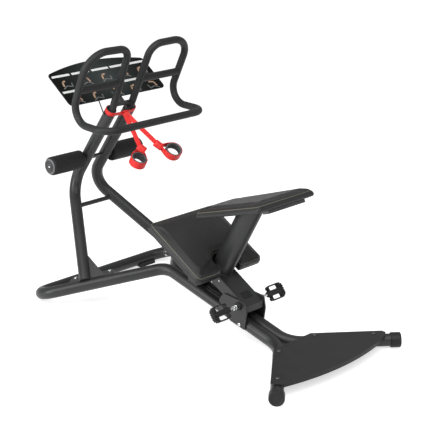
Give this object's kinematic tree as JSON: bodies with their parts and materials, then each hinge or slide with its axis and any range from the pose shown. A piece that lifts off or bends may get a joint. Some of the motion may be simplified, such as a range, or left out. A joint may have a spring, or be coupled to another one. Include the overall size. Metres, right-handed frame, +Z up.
{
  "type": "stretching station",
  "caption": "Bent-tube stretching station with wedge seat, sloping knee pad, foot rollers, pedals, looped handlebar, chart board and two hand straps.",
  "frame": {"origin": "middle of the footprint, on the floor", "axes": "+Z up, +Y from the two front feet towards the handlebar end, +X across to the right of someone facing the handlebar"},
  "size_m": [0.8974, 1.7256, 1.2598],
  "materials": {
    "frame_paint": "satin dark grey powder coat",
    "bar_paint": "matt dark grey coat",
    "bright_metal": "bright plated steel",
    "dark_steel": "matt black steel",
    "plastic": "fine textured black plastic",
    "upholstery": "near-black fine-grained leatherette with grey-green piping",
    "foam": "black closed-cell foam sleeve",
    "rubber": "black rubber",
    "webbing": "red woven webbing",
    "lining": "dark grey padded lining",
    "board_print": "near-black printed board with a faint green-grey glow and white bars",
    "label": "blank neutral grey label"
  },
  "bodies": {
    "frame": {"base_tube_right": "frame_paint", "base_tube_left": "frame_paint", "foot_cap_right": "plastic", "foot_cap_left": "plastic", "rear_foot_right": "rubber", "rear_foot_left": "rubber", "tread_plate": "plastic", "tread_bolt_1": "bright_metal", "tread_bolt_2": "bright_metal", "tread_bolt_3": "bright_metal", "tread_bolt_4": "bright_metal", "side_plate_right": "frame_paint", "side_plate_left": "frame_paint", "side_bolt_right": "bright_metal", "side_bolt_left": "bright_metal", "pedal_hub_right": "plastic", "pedal_hub_left": "plastic", "pedal_axle_right": "bright_metal", "pedal_axle_left": "bright_metal", "ramp_cover": "frame_paint", "label_plate": "label", "pad_stand": "frame_paint", "pad_board": "plastic", "knee_pad": "upholstery", "seat_cushion": "upholstery", "seat_board": "plastic", "seat_bracket": "dark_steel", "seat_post": "frame_paint", "upright_right": "frame_paint", "upright_left": "frame_paint", "cross_brace": "frame_paint", "ring_flange_right": "frame_paint", "ring_flange_left": "frame_paint", "upright_flange_right": "frame_paint", "upright_flange_left": "frame_paint", "flange_bolt_1_right": "bright_metal", "flange_bolt_1_left": "bright_metal", "flange_bolt_2_right": "bright_metal", "flange_bolt_2_left": "bright_metal", "roller_axle": "dark_steel", "handlebar": "bar_paint", "cross_grip_right": "bar_paint", "cross_grip_left": "bar_paint", "chart_board": "board_print", "board_bracket": "dark_steel", "board_stay_right": "dark_steel", "board_stay_left": "dark_steel", "strap_band": "webbing", "strap_right": "webbing", "strap_left": "webbing", "cuff_right": "webbing", "cuff_left": "webbing", "cuff_pad_right": "lining", "cuff_pad_left": "lining"},
    "pedal_right": {"pedal_right": "plastic"},
    "pedal_left": {"pedal_left": "plastic"},
    "roller_right": {"roller_sleeve_right": "plastic", "roller_foam_right": "foam"},
    "roller_left": {"roller_sleeve_left": "plastic", "roller_foam_left": "foam"}
  },
  "joints": [
    {"name": "pedal_spin_right", "type": "hinge", "parent": "frame", "child": "pedal_right", "pos_m": [0.18, -0.2926, 0.172], "axis": [1, 0, 0], "continuous": true},
    {"name": "roller_spin_right", "type": "hinge", "parent": "frame", "child": "roller_right", "pos_m": [0.187, 0.7608, 0.647], "axis": [1, 0, 0], "continuous": true},
    {"name": "pedal_spin_left", "type": "hinge", "parent": "frame", "child": "pedal_left", "pos_m": [-0.18, -0.2926, 0.172], "axis": [1, 0, 0], "continuous": true},
    {"name": "roller_spin_left", "type": "hinge", "parent": "frame", "child": "roller_left", "pos_m": [-0.187, 0.7608, 0.647], "axis": [1, 0, 0], "continuous": true}
  ]
}
